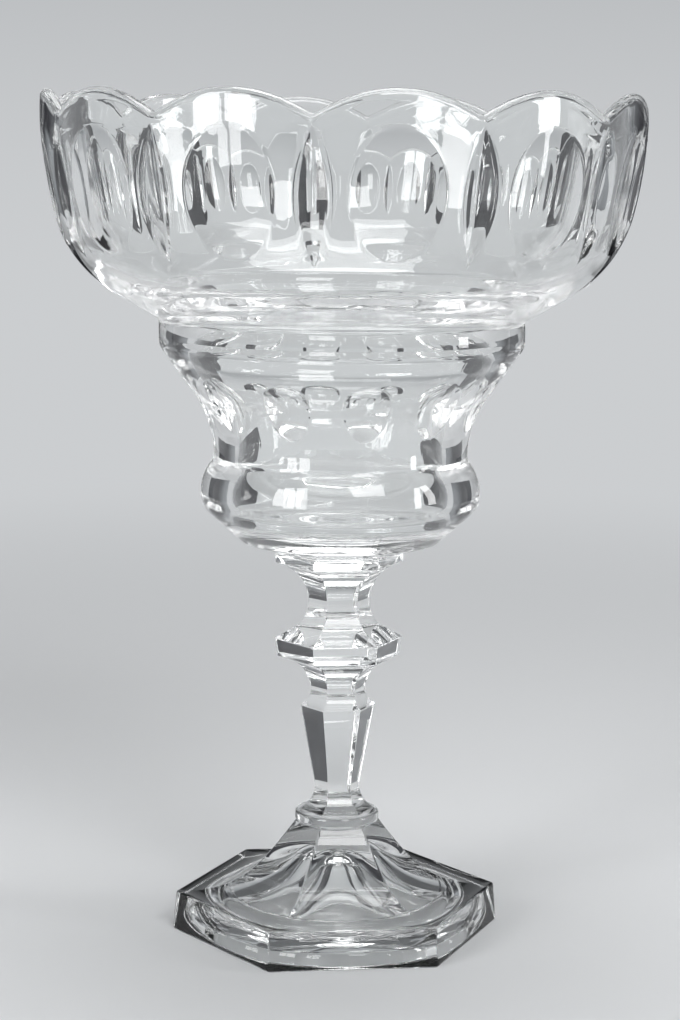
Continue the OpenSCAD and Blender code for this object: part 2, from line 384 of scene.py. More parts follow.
@dataclass
class Shell:
    """A closed shell of bands between a first and a last pole on the axis.

    The surface lies to the left of the rows' way, which is outside for an outline
    that runs up the outside and down the inside.
    """

    name: str
    first_pole: float
    last_pole: float
    bands: list[Band] = field(default_factory=list)
    pole_slots: tuple[Slot, Slot] = (Slot.POLISHED, Slot.POLISHED)

    def add(self, points: np.ndarray, slots: np.ndarray | Slot = Slot.POLISHED) -> None:
        """Add a band, with the slot numbers of the faces above each row or one slot for all."""
        numbers = slots.value if isinstance(slots, Slot) else slots
        self.bands.append(Band(points, np.broadcast_to(numbers, len(points))))

    def faces(self) -> tuple[np.ndarray, list[np.ndarray], list[np.ndarray]]:
        """Number the corners and list the faces.

        Returns:
            All corners, the faces as arrays of one width each, and their slots.
        """
        corners = [np.array([[0.0, 0.0, self.first_pole]])]
        faces: list[np.ndarray] = []
        slots: list[np.ndarray] = []
        start = 1
        before: np.ndarray | None = None
        before_slot = self.pole_slots[0].value
        for band in self.bands:
            rows, columns = band.points.shape[:2]
            number = start + np.arange(rows * columns).reshape(rows, columns)
            corners.append(band.points.reshape(-1, 3))
            here, there = number, np.roll(number, -1, axis=1)
            if before is None:
                faces.append(np.stack([np.zeros(columns, int), there[0], here[0]], axis=1))
                slots.append(np.full(columns, before_slot))
            else:
                faces.append(self._join(before, number[0]))
                slots.append(np.full(len(faces[-1]), before_slot))
            quads = np.stack([here[:-1], there[:-1], there[1:], here[1:]], axis=-1).reshape(-1, 4)
            if len(quads):
                faces.append(quads)
                slots.append(np.repeat(band.slots[:-1], columns))
            before, before_slot = number[-1], int(band.slots[-1])
            start += rows * columns
        corners.append(np.array([[0.0, 0.0, self.last_pole]]))
        faces.append(np.stack([before, np.roll(before, -1), np.full(len(before), start)], axis=1))
        slots.append(np.full(len(before), self.pole_slots[1].value))
        return np.vstack(corners), faces, slots

    @staticmethod
    def _join(lower: np.ndarray, upper: np.ndarray) -> np.ndarray:
        """Faces between two rings whose numbers of columns divide each other.

        Args:
            lower: Corner numbers of the lower ring.
            upper: Corner numbers of the upper ring.

        Returns:
            Faces, one for each column of the ring with fewer columns.
        """
        few, many = (upper, lower) if len(lower) >= len(upper) else (lower, upper)
        step = len(many) // len(few)
        wide = many[(np.arange(len(few))[:, None] * step + np.arange(step + 1)) % len(many)]
        here, there = few[:, None], np.roll(few, -1)[:, None]
        if few is upper:
            return np.hstack([wide, there, here])
        return np.hstack([here, there, wide[:, ::-1]])

    def build(self, materials: list[bpy.types.Material]) -> bpy.types.Object:
        """Make the mesh object.

        Args:
            materials: The slots' materials in order.

        Returns:
            The new object at the origin. Wetted faces are flat and all others smooth.
        """
        corners, faces, slots = self.faces()
        mesh = bpy.data.meshes.new(self.name)
        widths = np.concatenate([np.full(len(f), f.shape[1]) for f in faces])
        loops = np.concatenate([f.ravel() for f in faces]).astype(np.int32)
        mesh.vertices.add(len(corners))
        mesh.vertices.foreach_set("co", corners.astype(np.float32).ravel())
        mesh.loops.add(len(loops))
        mesh.loops.foreach_set("vertex_index", loops)
        mesh.polygons.add(len(widths))
        mesh.polygons.foreach_set("loop_start", np.r_[0, np.cumsum(widths)[:-1]].astype(np.int32))
        mesh.polygons.foreach_set("material_index", np.concatenate(slots).astype(np.int32))
        mesh.polygons.foreach_set("use_smooth", np.concatenate(slots) != Slot.WETTED.value)
        mesh.update(calc_edges=True)
        if mesh.validate():
            log.warning("%s had faces that did not hold", self.name)
        for material in materials:
            mesh.materials.append(material)
        log.info("%s: %d corners, %d triangles, %.1f cm3", self.name, len(corners),
                 int((widths - 2).sum()), self.volume(corners, faces) / CM ** 3)
        return add_object(self.name, mesh)

    @staticmethod
    def volume(corners: np.ndarray, faces: list[np.ndarray]) -> float:
        """Volume inside the shell, below zero if it is inside out.

        The volume is the sum of a . (b x c) / 6 over the triangles a, b, c.

        Args:
            corners: All corners.
            faces: Faces as arrays of one width each.

        Returns:
            Cubic metres.
        """
        total = 0.0
        for group in faces:
            for k in range(1, group.shape[1] - 1):
                a, b, c = corners[group[:, 0]], corners[group[:, k]], corners[group[:, k + 1]]
                total += float(np.einsum("ij,ij->", a, np.cross(b, c))) / 6
        return total


# Finishes

class Effects:
    """Node groups that more than one glass piece uses.

    NO_CONTACT is a height below the whole object, so that nothing is scuffed.
    """

    WAVES = "pressed_waves"
    BROAD_SCALE = 30.0
    FINE_SCALE = 160.0
    FINE_SHARE = 0.12
    WAVE_DETAIL = 1.0
    SCUFFS = "handling_scuffs"
    SPECKLE_SCALE = 900.0
    SPECKLE_DETAIL = 3.0
    SPECKLE_LOW = 0.35
    SPECKLE_HIGH = 0.6
    NO_CONTACT = -1.0
    FADE = 1.0 * MM
    SCUFF = 0.35

    @staticmethod
    def _group(name: str, inputs: dict[str, float], output: str) -> bpy.types.NodeTree:
        """Make an empty node group with named sockets.

        Args:
            name: Name of the group.
            inputs: Number inputs and their values at first.
            output: The number that it puts out.

        Returns:
            The node tree, with its input, output and coordinate nodes in it.
        """
        group = bpy.data.node_groups.new(name, "ShaderNodeTree")
        for label, value in inputs.items():
            socket = group.interface.new_socket(name=label, in_out="INPUT", socket_type="NodeSocketFloat")
            socket.default_value = value
        group.interface.new_socket(name=output, in_out="OUTPUT", socket_type="NodeSocketFloat")
        for kind in ("NodeGroupInput", "NodeGroupOutput", "ShaderNodeTexCoord"):
            group.nodes.new(kind)
        return group

    @staticmethod
    def _noise(group: bpy.types.NodeTree, scale: bpy.types.NodeSocket | float,
               detail: float) -> bpy.types.NodeSocket:
        """Add noise on Object coordinates.

        Args:
            group: Group that it goes into.
            scale: Its scale, as a socket or a number.
            detail: Its detail.

        Returns:
            The socket of the noise.
        """
        node = group.nodes.new("ShaderNodeTexNoise")
        node.inputs["Detail"].default_value = detail
        group.links.new(group.nodes["Texture Coordinate"].outputs["Object"], node.inputs["Vector"])
        if isinstance(scale, bpy.types.NodeSocket):
            group.links.new(scale, node.inputs["Scale"])
        else:
            node.inputs["Scale"].default_value = scale
        return node.outputs["Fac"]

    @classmethod
    def waves(cls) -> bpy.types.NodeTree:
        """The slow unevenness that a cooled iron mould leaves on glass.

        The height is broad noise plus a share of fine noise.

        Returns:
            A group with the height of the surface as its output.
        """
        if cls.WAVES in bpy.data.node_groups:
            return bpy.data.node_groups[cls.WAVES]
        inputs = {"Broad Scale": cls.BROAD_SCALE, "Fine Scale": cls.FINE_SCALE,
                  "Fine Share": cls.FINE_SHARE}
        group = cls._group(cls.WAVES, inputs, "Height")
        source = group.nodes["Group Input"].outputs
        broad = cls._noise(group, source["Broad Scale"], cls.WAVE_DETAIL)
        fine = cls._noise(group, source["Fine Scale"], cls.WAVE_DETAIL)
        height = add_math(group, "MULTIPLY_ADD", fine, source["Fine Share"], broad)
        group.links.new(height, group.nodes["Group Output"].inputs["Height"])
        return group

    @classmethod
    def scuffs(cls) -> bpy.types.NodeTree:
        """Fine dulling where the piece is set down and handled.

        The mask is one below Contact Height, fades out above it over Fade and is broken
        up by noise.

        Returns:
            A group with the roughness as its output.
        """
        if cls.SCUFFS in bpy.data.node_groups:
            return bpy.data.node_groups[cls.SCUFFS]
        inputs = {"Contact Height": cls.NO_CONTACT, "Fade": cls.FADE, "Scuff Roughness": cls.SCUFF}
        group = cls._group(cls.SCUFFS, inputs, "Roughness")
        source = group.nodes["Group Input"].outputs
        apart = group.nodes.new("ShaderNodeSeparateXYZ")
        group.links.new(group.nodes["Texture Coordinate"].outputs["Object"], apart.inputs[0])
        above = add_math(group, "SUBTRACT", apart.outputs["Z"], source["Contact Height"])
        faded = add_math(group, "DIVIDE", above, source["Fade"], clamp=True)
        speckle = cls._noise(group, cls.SPECKLE_SCALE, cls.SPECKLE_DETAIL)
        broken = add_range(group, speckle, cls.SPECKLE_LOW, cls.SPECKLE_HIGH)
        worn = add_math(group, "MULTIPLY", add_math(group, "SUBTRACT", 1.0, faded), broken)
        scuffed = add_math(group, "MULTIPLY", worn, source["Scuff Roughness"])
        group.links.new(scuffed, group.nodes["Group Output"].inputs["Roughness"])
        return group


@dataclass(frozen=True)
class GlassFinish:
    """Clear fire-polished glass, or clear adhesive.

    Attributes:
        name: Name of the material.
        tint: Colour of the light that passes.
        ior: How strongly it bends light.
        wave_height: Height of the waves in its surface.
        broad_scale: Scale of the broad waves.
        contact_height: Height up to which it is scuffed.
        fade: Height over which the scuffs fade out.
        scuff: Roughness where it is scuffed.
    """

    name: str
    tint: tuple[float, float, float] = (0.985, 0.993, 0.990)
    ior: float = 1.52
    wave_height: float = 0.02 * MM
    broad_scale: float = Effects.BROAD_SCALE
    contact_height: float = Effects.NO_CONTACT
    fade: float = Effects.FADE
    scuff: float = Effects.SCUFF

    def material(self) -> bpy.types.Material:
        """Make the material: Principled glass with waves as bump and scuffs as roughness.

        Returns:
            The new material.
        """
        values = {"Base Color": (*self.tint, 1.0), "IOR": self.ior, "Transmission Weight": 1.0}
        made = new_material(self.name, values)
        tree = made.node_tree
        links, shader = tree.links, tree.nodes["Principled BSDF"]
        waves = add_group(tree, Effects.waves(), {"Broad Scale": self.broad_scale})
        bump = tree.nodes.new("ShaderNodeBump")
        set_inputs(bump, {"Strength": 1.0, "Distance": self.wave_height})
        wear = {"Contact Height": self.contact_height, "Fade": self.fade, "Scuff Roughness": self.scuff}
        scuffs = add_group(tree, Effects.scuffs(), wear)
        links.new(waves.outputs["Height"], bump.inputs["Height"])
        links.new(bump.outputs["Normal"], shader.inputs["Normal"])
        links.new(scuffs.outputs["Roughness"], shader.inputs["Roughness"])
        return made


@dataclass(frozen=True)
class WettedFinish:
    """A glass face wetted by the clear bond: light passes it unbent and unreflected."""

    name: str
    tint: tuple[float, float, float] = (1.0, 1.0, 1.0)

    def material(self) -> bpy.types.Material:
        """Make the material, with the index of one glass against the other, which is 1."""
        clear = {"Base Color": (*self.tint, 1.0), "Roughness": 0.0, "IOR": 1.0, "Transmission Weight": 1.0}
        return new_material(self.name, clear)


# Pieces

@dataclass
class BondFilm:
    """A thin film of cured clear adhesive with a slightly uneven, hollow edge.

    Its faces stay a hair off the glass, because light gets lost between two faces
    that share a place. The waves of its edge add up to less than wave_most, so that
    the edge never leaves the radius.
    """

    name: str
    node: str
    low: float
    high: float
    radius: float
    unevenness: float = 0.12 * MM
    meniscus: float = 0.03 * MM
    clearance: float = 0.02 * MM
    wave_counts: tuple[int, ...] = (2, 3, 5)
    wave_most: float = 1.1
    columns: int = 192
    seed: float = 0.0

    @classmethod
    def in_box(cls, name: str, node: str, box: tuple[Vector, Vector], seed: float) -> "BondFilm":
        """A film, still to be built, that fills its node's box, with a seed for the waves of its edge."""
        return cls(name, node, box[0].z, box[1].z, box[1].x, seed=seed)

    def edge(self, angle: np.ndarray) -> np.ndarray:
        """Radius of the film at its edge: R - u (m + sum of sin(k a + seed k^2) / k) / 2."""
        waves = sum(np.sin(k * angle + self.seed * k * k) / k for k in self.wave_counts)
        return self.radius - self.unevenness * (self.wave_most + waves) / 2

    def outline(self, angles: np.ndarray, height: float) -> np.ndarray:
        """Places of the film's outline on a glass face, for one row of angles."""
        return at(self.edge(angles), height, angles)

    def build(self, finish: bpy.types.Material, wetted: bpy.types.Material) -> bpy.types.Object:
        """Make the film, ride it on the part and let it stand for its node.

        Args:
            finish: Material of the edge.
            wetted: Material of the two faces on glass.

        Returns:
            The film's object.
        """
        low, high = self.low + self.clearance, self.high - self.clearance
        shell = Shell(self.name, low, high, pole_slots=(Slot.WETTED, Slot.WETTED))
        angles = even_angles(self.columns)
        inset = np.array([[0.0], [self.meniscus], [0.0]])
        heights = np.array([[low], [(low + high) / 2], [high]])
        shell.add(at(self.edge(angles) - inset, heights, angles[None]))
        made = shell.build([finish, wetted])
        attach(made, "root")
        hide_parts(self.node)
        return made


@dataclass
class HexagonColumns:
    """Columns of a six-sided piece, packed close at its rounded ridges."""

    ridge: float
    flat_steps: int = 14
    flat_share: float = 0.92
    edge_share: float = 0.985
    corner_shares: tuple[float, ...] = (0.25, 0.5, 0.75)
    sides: int = 6

    def angles_and_radii(self, apothem: np.ndarray, is_round: bool) -> tuple[np.ndarray, np.ndarray]:
        """Angles of the columns and the radius at each, for every row.

        The side is flat as far as the angle atan((1 - ridge / apothem) tan 30), and
        past it lies on a circle of the ridge's radius, whose centre is on the corner's
        line at (apothem - ridge) / cos 30 from the axis. A round row has one radius.

        Args:
            apothem: Half width across flats of each row, or the radius of a round row.
            is_round: Whether the rows are round and not six-sided.

        Returns:
            Two arrays, rows by columns.
        """
        apothem = np.maximum(apothem, 3 * self.ridge)[:, None]
        tangent = np.arctan((1 - self.ridge / apothem) * math.tan(HALF_SIDE))
        flats = np.linspace(-self.flat_share, self.flat_share, self.flat_steps)
        flat = tangent * np.r_[-1, -self.edge_share, flats, self.edge_share, 1][None]
        corner = tangent + 2 * (HALF_SIDE - tangent) * np.array([self.corner_shares])
        local = np.hstack([flat, corner])
        folded = np.where(local > HALF_SIDE, local - 2 * HALF_SIDE, local)
        centre = (apothem - self.ridge) / math.cos(HALF_SIDE)
        off = HALF_SIDE - np.abs(folded)
        reach = np.maximum(self.ridge ** 2 - (centre * np.sin(off)) ** 2, 0)
        on_ridge = centre * np.cos(off) + np.sqrt(reach)
        radius = np.where(np.abs(folded) < tangent, apothem / np.cos(folded), on_ridge)
        radius = np.where(is_round, apothem, radius)
        turns = np.arange(self.sides)[:, None] * 2 * HALF_SIDE
        angles = (local[:, None, :] + turns[None]).reshape(len(apothem), -1)
        return angles, np.tile(radius, (1, self.sides))

    def band(self, rows: np.ndarray, is_round: bool = False) -> np.ndarray:
        """Places of rows given as corner radius or radius, and height.

        Args:
            rows: Two columns, the radius over the corners and the height.
            is_round: Whether the rows are round, with one plain radius.

        Returns:
            Places, rows by columns by three.
        """
        scale = 1.0 if is_round else math.cos(HALF_SIDE)
        angles, radii = self.angles_and_radii(rows[:, 0] * scale, is_round)
        return at(radii, rows[:, 1:], angles)


@dataclass
class Foot:
    """Six-sided foot with hollow sides and a bell-shaped hollow under it."""

    ground: float
    top: float
    corner_r: float = 55.6 * MM
    edge_h: float = 12.9 * MM
    draft: float = 1.0 * MM
    bevel: float = 0.6 * MM
    turn_r: float = 27.9 * MM
    turn_h: float = 21.0 * MM
    top_r: float = 14.6 * MM
    hollow_r: float = 43.5 * MM
    hollow_wall_h: float = 4.0 * MM
    shelf_r: float = 34.0 * MM
    shelf_h: float = 8.8 * MM
    hollow_h: float = 23.5 * MM
    hollow_top_r: float = 9.0 * MM
    hollow_dome_h: float = 3.0 * MM
    side_bow: float = -0.105
    top_bow: float = -0.02
    shelf_bow: float = 0.12
    bell_bow: float = -0.065
    dome_bow: float = 0.08
    round_bow: float = 0.2
    base_round: float = 0.8 * MM
    edge_round: float = 0.4 * MM
    turn_round: float = 3.0 * MM
    top_round: float = 0.25 * MM
    hollow_base_round: float = 0.6 * MM
    hollow_draft: float = 0.5 * MM
    hollow_wall_round: float = 1.0 * MM
    shelf_round: float = 2.0 * MM
    pole_r: float = 0.4 * MM
    outside_step: float = 1.6 * MM
    hollow_step: float = 1.5 * MM
    row_turn: float = 5.0
    columns: HexagonColumns = field(default_factory=lambda: HexagonColumns(ridge=0.9 * MM))

    def outside(self) -> np.ndarray:
        """Trace the outside from the standing face up the edge and the swept sides.

        Returns:
            Rows of radius over the corners and height.
        """
        rim_r = self.corner_r - self.draft
        line = Outline(self.corner_r - self.base_round, self.ground)
        line.to(self.corner_r, self.ground + self.base_round, bow=self.round_bow)
        line.to(rim_r, self.edge_h, rounded=self.edge_round)
        line.to(rim_r - self.bevel, self.edge_h + self.bevel, rounded=self.edge_round)
        line.to(self.turn_r, self.turn_h, bow=self.side_bow, rounded=self.turn_round)
        line.to(self.top_r, self.top - self.top_round, bow=self.top_bow)
        line.to(self.top_r - self.top_round, self.top, bow=self.round_bow)
        return line.rows(self.outside_step, self.row_turn)

    def hollow(self) -> np.ndarray:
        """Trace the hollow from the standing face up to its middle.

        Returns:
            Rows of radius and height.
        """
        line = Outline(self.hollow_r + self.hollow_base_round, self.ground)
        line.to(self.hollow_r, self.ground + self.hollow_base_round, bow=-self.round_bow)
        line.to(self.hollow_r - self.hollow_draft, self.hollow_wall_h, rounded=self.hollow_wall_round)
        line.to(self.shelf_r, self.shelf_h, bow=self.shelf_bow, rounded=self.shelf_round)
        line.to(self.hollow_top_r, self.hollow_h - self.hollow_dome_h, bow=self.bell_bow)
        line.to(self.pole_r, self.hollow_h, bow=self.dome_bow)
        return line.rows(self.hollow_step, self.row_turn)

    def build(self, film: BondFilm, glass: bpy.types.Material,
              wetted: bpy.types.Material) -> bpy.types.Object:
        """Make the foot.

        Args:
            film: The film on its top, whose outline is wetted.
            glass: Material of the glass.
            wetted: Material of the bonded face.

        Returns:
            The foot's object.
        """
        shell = Shell("foot_glass", self.hollow_h, self.top, pole_slots=(Slot.POLISHED, Slot.WETTED))
        shell.add(self.columns.band(self.hollow()[::-1], is_round=True))
        shell.add(self.columns.band(self.outside()))
        top_apothem = np.array([self.top_r * math.cos(HALF_SIDE)])
        angles, _ = self.columns.angles_and_radii(top_apothem, is_round=False)
        shell.add(film.outline(angles, self.top), Slot.WETTED)
        made = shell.build([glass, wetted])
        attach(made, "root")
        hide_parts("foot")
        return made


@dataclass
class Stem:
    """Six-sided stem: a round disc, a baluster, a knop, a neck and a top plate."""

    bottom: float
    top: float
    disc_r: float = 14.2 * MM
    disc_h: float = 3.8 * MM
    disc_round: float = 1.2 * MM
    ankle_r: float = 12.6 * MM
    ankle_h: float = 8.0 * MM
    baluster_low_r: float = 7.5 * MM
    baluster_h: float = 27.0 * MM
    baluster_top_r: float = 12.8 * MM
    shoulder_t: float = 1.2 * MM
    low_neck_r: float = 9.6 * MM
    low_neck_h: float = 7.3 * MM
    knop_rise: float = 9.5 * MM
    knop_low_r: float = 20.7 * MM
    knop_r: float = 21.7 * MM
    knop_h: float = 6.2 * MM
    knop_slope_h: float = 4.2 * MM
    knop_top_r: float = 14.0 * MM
    high_neck_r: float = 10.4 * MM
    high_neck_h: float = 7.6 * MM
    plate_r: float = 21.6 * MM
    plate_t: float = 3.4 * MM
    edge: float = 0.35 * MM
    shoulder_draft: float = 0.24 * MM
    ankle_bow: float = -0.12
    low_neck_bow: float = -0.19
    knop_bow: float = -0.17
    high_neck_bow: float = -0.1
    plate_bow: float = -0.19
    ankle_round: float = 1.5 * MM
    low_neck_round: float = 1.0 * MM
    high_neck_round: float = 2.0 * MM
    disc_step: float = 0.8 * MM
    disc_turn: float = 8.0
    shaft_step: float = 1.4 * MM
    shaft_turn: float = 6.0
    columns: HexagonColumns = field(default_factory=lambda: HexagonColumns(ridge=0.45 * MM))

    def disc(self) -> np.ndarray:
        """Trace the round disc from its bottom face to its top face.

        Returns:
            Rows of radius and height.
        """
        low, high = self.bottom, self.bottom + self.disc_h
        line = Outline(self.disc_r - self.disc_round, low)
        line.to(self.disc_r, low + self.disc_round, bow=QUARTER_BOW)
        line.to(self.disc_r, high - self.disc_round)
        line.to(self.disc_r - self.disc_round, high, bow=QUARTER_BOW)
        return line.rows(self.disc_step, self.disc_turn)

    def shaft(self) -> np.ndarray:
        """Trace the six-sided part from the disc to the top face.

        Returns:
            Rows of radius over the corners and height.
        """
        z = self.bottom + self.disc_h
        line = Outline(self.ankle_r, z)
        z += self.ankle_h
        line.to(self.baluster_low_r, z, bow=self.ankle_bow, rounded=self.ankle_round)
        z += self.baluster_h
        line.to(self.baluster_top_r - self.shoulder_draft, z, rounded=self.edge)
        z += self.shoulder_t
        line.to(self.baluster_top_r, z, rounded=self.edge)
        z += self.low_neck_h
        line.to(self.low_neck_r, z, bow=self.low_neck_bow, rounded=self.low_neck_round)
        z += self.knop_rise
        line.to(self.knop_low_r, z, bow=self.knop_bow, rounded=self.edge)
        z += self.knop_h
        line.to(self.knop_r, z, rounded=self.edge)
        z += self.knop_slope_h
        line.to(self.knop_top_r, z, rounded=2 * self.edge)
        z += self.high_neck_h
        line.to(self.high_neck_r, z, bow=self.high_neck_bow, rounded=self.high_neck_round)
        line.to(self.plate_r, self.top - self.plate_t, bow=self.plate_bow, rounded=self.edge)
        line.to(self.plate_r, self.top - self.edge)
        line.to(self.plate_r - self.edge, self.top, bow=QUARTER_BOW)
        return line.rows(self.shaft_step, self.shaft_turn)

    def build(self, foot_film: BondFilm, bowl_film: BondFilm, glass: bpy.types.Material,
              wetted: bpy.types.Material) -> bpy.types.Object:
        """Make the stem.

        Args:
            foot_film: The film under the disc.
            bowl_film: The film on the top plate.
            glass: Material of the glass.
            wetted: Material of the bonded faces.

        Returns:
            The stem's object.
        """
        shell = Shell("stem_glass", self.bottom, self.top, pole_slots=(Slot.WETTED, Slot.WETTED))
        disc = self.disc()
        angles, _ = self.columns.angles_and_radii(disc[:1, 0], is_round=True)
        shell.add(foot_film.outline(angles, self.bottom))
        shell.add(self.columns.band(disc, is_round=True))
        shaft = self.columns.band(self.shaft())
        shell.add(shaft)
        shell.add(bowl_film.outline(angles_of(shaft[-1:]), self.top), Slot.WETTED)
        made = shell.build([glass, wetted])
        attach(made, "root")
        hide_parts("stem")
        return made


@dataclass
class Bowl:
    """Scalloped bowl and hollow cup in one, with mitre cuts, ovals and thumb prints.

    Heights in the fields are above the seat, and radii are from the axis.
    """

    seat: float
    top: float
    panels: int = 12
    turn: float = math.radians(2.6)
    mouth_r: float = 98.5 * MM
    scallop_d: float = 8.0 * MM
    scallop_soft: float = 1.0 * MM
    seat_r: float = 18.5 * MM
    base_rise: float = 4.05 * MM
    base_r: float = 34.9 * MM
    base_bevel: float = 1.9 * MM
    cup_low_r: float = 45.6 * MM
    cup_low_h: float = 15.3 * MM
    waist_r: float = 42.2 * MM
    waist_h: float = 31.55 * MM
    flare_r: float = 48.9 * MM
    flare_h: float = 53.25 * MM
    ledge_r: float = 60.5 * MM
    ledge_low_h: float = 69.25 * MM
    ledge_t: float = 8.6 * MM
    belly_r: float = 74.15 * MM
    belly_h: float = 85.75 * MM
    side_r: float = 94.85 * MM
    side_h: float = 113.2 * MM
    rim_wall: float = 4.5 * MM
    side_wall: float = 4.7 * MM
    belly_wall: float = 6.0 * MM
    throat_wall: float = 2.5 * MM
    throat_t: float = 6.2 * MM
    ledge_wall: float = 10.5 * MM
    well_top_lift: float = 2.25 * MM
    flare_wall: float = 9.25 * MM
    waist_wall: float = 8.5 * MM
    waist_lift: float = 4.5 * MM
    cup_wall: float = 9.6 * MM
    floor_h: float = 12.15 * MM
    floor_round: float = 8.0 * MM
    wear_h: float = 0.25 * MM
    worn_share: float = 0.25
    waist_bow: float = 0.139
    flare_bow: float = -0.0834
    belly_bow: float = 0.1018
    rim_bow: float = 0.0373
    ledge_in_bow: float = 0.12
    flare_in_bow: float = -0.06
    waist_in_bow: float = 0.07
    cup_in_bow: float = 0.02
    base_round: float = 0.6 * MM
    cup_round: float = 2.5 * MM
    waist_round: float = 1.5 * MM
    ledge_low_round: float = 2.0 * MM
    ledge_high_round: float = 1.2 * MM
    belly_round: float = 1.5 * MM
    belly_in_round: float = 2.0 * MM
    throat_round: float = 3.0 * MM
    well_round: float = 2.0 * MM
    mitre_low: float = 99.65 * MM
    mitre_high: float = 140.65 * MM
    mitre_d: float = 2.8 * MM
    mitre_angle: float = math.radians(124)
    oval_low: float = 101.15 * MM
    oval_high: float = 140.65 * MM
    oval_d: float = 2.9 * MM
    oval_w: float = 29.0 * MM
    thumb_d: float = 2.0 * MM
    thumb_r: float = 20.0 * MM
    plain_h: float = 132.5 * MM
    soft: float = 0.06 * MM
    valley_round: float = 0.25 * MM
    oval_reach: float = 1.02
    crest_share: float = 1 / 3
    least_mitre_w: float = 1.2 * MM
    least_oval_w: float = 4.0 * MM
    plain_oval_w: float = 8.0 * MM
    least_thumb_w: float = 1.5 * MM
    widest_share: float = 0.75
    centre_shares: tuple[float, ...] = (0.0, 0.24, 0.46, 0.64, 0.79, 0.9, 0.97)
    between_shares: tuple[float, ...] = (0.0, 0.16, 0.5, 0.84)
    mitre_shares: tuple[float, ...] = (0.0, 0.1, 0.4, 0.7, 0.92)
    plain_step: float = 2.0 * MM
    belly_step: float = 2.2 * MM
    cut_step: float = 1.0 * MM
    plain_turn: float = 7.0
    cut_turn: float = 6.0
    inner_turn: float = 4.0
    cut_margin: float = 5.0 * MM
    row_margin: float = 1.0 * MM
    rim_rows: int = 14
    lip_rows: int = 12
    blend_rows: int = 9
    coarse: int = 3

    def outer_line(self) -> Outline:
        """Draw the outside from the seat's edge to the height of the crests.

        Returns:
            The outline, rising.
        """
        z = self.seat
        base_top = z + self.base_rise + self.base_bevel
        ledge_low = z + self.ledge_low_h
        line = Outline(self.seat_r, z)
        line.to(self.base_r - self.base_bevel, z + self.base_rise, rounded=self.base_round)
        line.to(self.base_r, base_top, rounded=self.base_round)
        line.to(self.cup_low_r, z + self.cup_low_h, rounded=self.cup_round)
        line.to(self.waist_r, z + self.waist_h, bow=self.waist_bow, rounded=self.waist_round)
        line.to(self.flare_r, z + self.flare_h, bow=self.flare_bow)
        line.to(self.ledge_r, ledge_low, rounded=self.ledge_low_round)
        line.to(self.ledge_r, ledge_low + self.ledge_t, rounded=self.ledge_high_round)
        line.to(self.belly_r, z + self.belly_h, rounded=self.belly_round)
        line.to(self.side_r, z + self.side_h, bow=self.belly_bow)
        line.to(self.mouth_r, self.top, bow=self.rim_bow)
        return line

    def inner_line(self) -> Outline:
        """Draw the inside from the height of the crests down to the floor's corner.

        Returns:
            The outline, falling.
        """
        z = self.seat
        throat_h = z + self.ledge_low_h + self.ledge_t + self.throat_t
        well_h = z + self.ledge_low_h + self.well_top_lift
        well_r = self.cup_low_r - self.cup_wall
        line = Outline(self.mouth_r - self.rim_wall, self.top)
        line.to(self.side_r - self.side_wall, z + self.side_h, bow=-self.rim_bow)
        line.to(self.belly_r, z + self.belly_h + self.belly_wall, bow=-self.belly_bow,
                rounded=self.belly_in_round)
        line.to(self.ledge_r - self.throat_wall, throat_h, rounded=self.throat_round)
        line.to(self.ledge_r - self.ledge_wall, well_h, bow=self.ledge_in_bow, rounded=self.throat_round)
        line.to(self.flare_r - self.flare_wall, z + self.flare_h, bow=self.flare_in_bow,
                rounded=self.throat_round)
        line.to(self.waist_r - self.waist_wall, z + self.waist_h + self.waist_lift, bow=self.waist_in_bow,
                rounded=self.throat_round)
        line.to(well_r, z + self.floor_h + self.floor_round, bow=self.cup_in_bow, rounded=self.well_round)
        line.to(well_r - self.floor_round, z + self.floor_h, bow=-QUARTER_BOW)
        return line

    def worn_top(self) -> float:
        """Height up to which spoons have scuffed the floor inside."""
        return self.seat + self.floor_h + self.wear_h

    def crest_height(self, local: np.ndarray) -> np.ndarray:
        """Height of the rim at an angle from a panel's middle.

        The crest is a circle through the peak and both dips, of radius
        (c^2 + d^2) / 2d for half chord c and depth d. The corner in the dip is
        softened by using sqrt(x^2 + e^2) for the distance x from the dip, except near
        the peak.

        Args:
            local: Angles from the panel's middle.

        Returns:
            Heights above the ground.
        """
        half_panel = math.pi / self.panels
        half_chord = self.mouth_r * math.sin(half_panel)
        radius = (half_chord ** 2 + self.scallop_d ** 2) / (2 * self.scallop_d)
        from_dip = half_chord - self.mouth_r * np.sin(np.abs(local))
        across = half_chord - np.sqrt(from_dip ** 2 + self.scallop_soft ** 2)
        near_peak = np.abs(local) < half_panel * self.crest_share
        across = np.where(near_peak, self.mouth_r * np.sin(np.abs(local)), across)
        return self.top - radius + np.sqrt(radius ** 2 - across ** 2)

    def _soft(self, depth: np.ndarray) -> np.ndarray:
        """Depth with its edge softened: (d + sqrt(d^2 + s^2)) / 2 - s / 4, and at least 0."""
        return np.maximum((depth + np.sqrt(depth ** 2 + self.soft ** 2)) / 2 - self.soft / 4, 0)

    def _along_mitre(self, height: np.ndarray) -> np.ndarray:
        """Way along a mitre cut, from -1 at its lower end to 1 at its upper end."""
        middle, half = (self.mitre_low + self.mitre_high) / 2, (self.mitre_high - self.mitre_low) / 2
        return (height - middle) / half

    def _along_oval(self, height: np.ndarray) -> np.ndarray:
        """Way along an oval cut, from -1 at its lower end to 1 at its upper end."""
        middle, half = (self.oval_low + self.oval_high) / 2, (self.oval_high - self.oval_low) / 2
        return (height - middle) / half

    def _beside_thumb(self, height: np.ndarray) -> np.ndarray:
        """Whether a height above the seat is in the zone of the thumb cuts."""
        return (height < self.ledge_low_h) & (height > self.waist_h)

